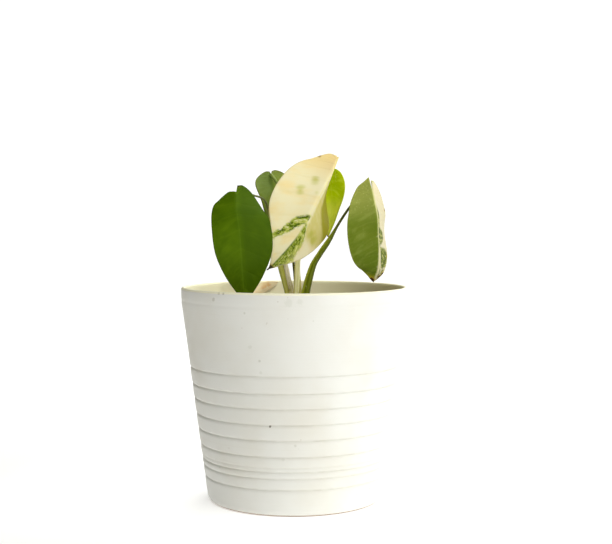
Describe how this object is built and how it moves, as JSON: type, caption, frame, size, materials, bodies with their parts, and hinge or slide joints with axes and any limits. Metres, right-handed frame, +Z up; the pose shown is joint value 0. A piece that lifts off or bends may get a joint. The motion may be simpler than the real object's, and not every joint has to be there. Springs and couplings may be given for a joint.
{
  "type": "potted albo variegated monstera",
  "caption": "Young variegated monstera with hanging heart-shaped leaves on leafstalks from one crown, growing in soil in a tapered, grooved ceramic pot.",
  "frame": {"origin": "middle of the pot's foot, on the surface that it stands on", "axes": "+Z up along the pot's axis; -Y towards the side that the plant shows best, with +X to the right from there"},
  "size_m": [0.14, 0.14, 0.2137],
  "materials": {
    "pot_glaze": "satin",
    "soil": "rough",
    "crown": "rough",
    "leafstalk": "satin",
    "leafstalk_pale": "satin",
    "leaf_green": "satin",
    "leaf_underside": "satin",
    "leaf_cream": "satin",
    "leaf_lime": "satin",
    "leaf_half_moon": "satin",
    "dry_sheath": "matte",
    "dry_leaf": "matte"
  },
  "bodies": {
    "root": {"pot": "pot_glaze", "soil": "soil", "crown": "crown", "leafstalk_left": "leafstalk", "leafstalk_back_left": "leafstalk", "leafstalk_centre": "leafstalk_pale", "leafstalk_back_right": "leafstalk_pale", "leafstalk_right": "leafstalk", "blade_left": "leaf_green", "blade_back_left": "leaf_underside", "blade_centre": "leaf_cream", "blade_back_right": "leaf_lime", "blade_right": "leaf_half_moon", "old_sheath": "dry_sheath", "dried_leaf": "dry_leaf"}
  },
  "joints": []
}
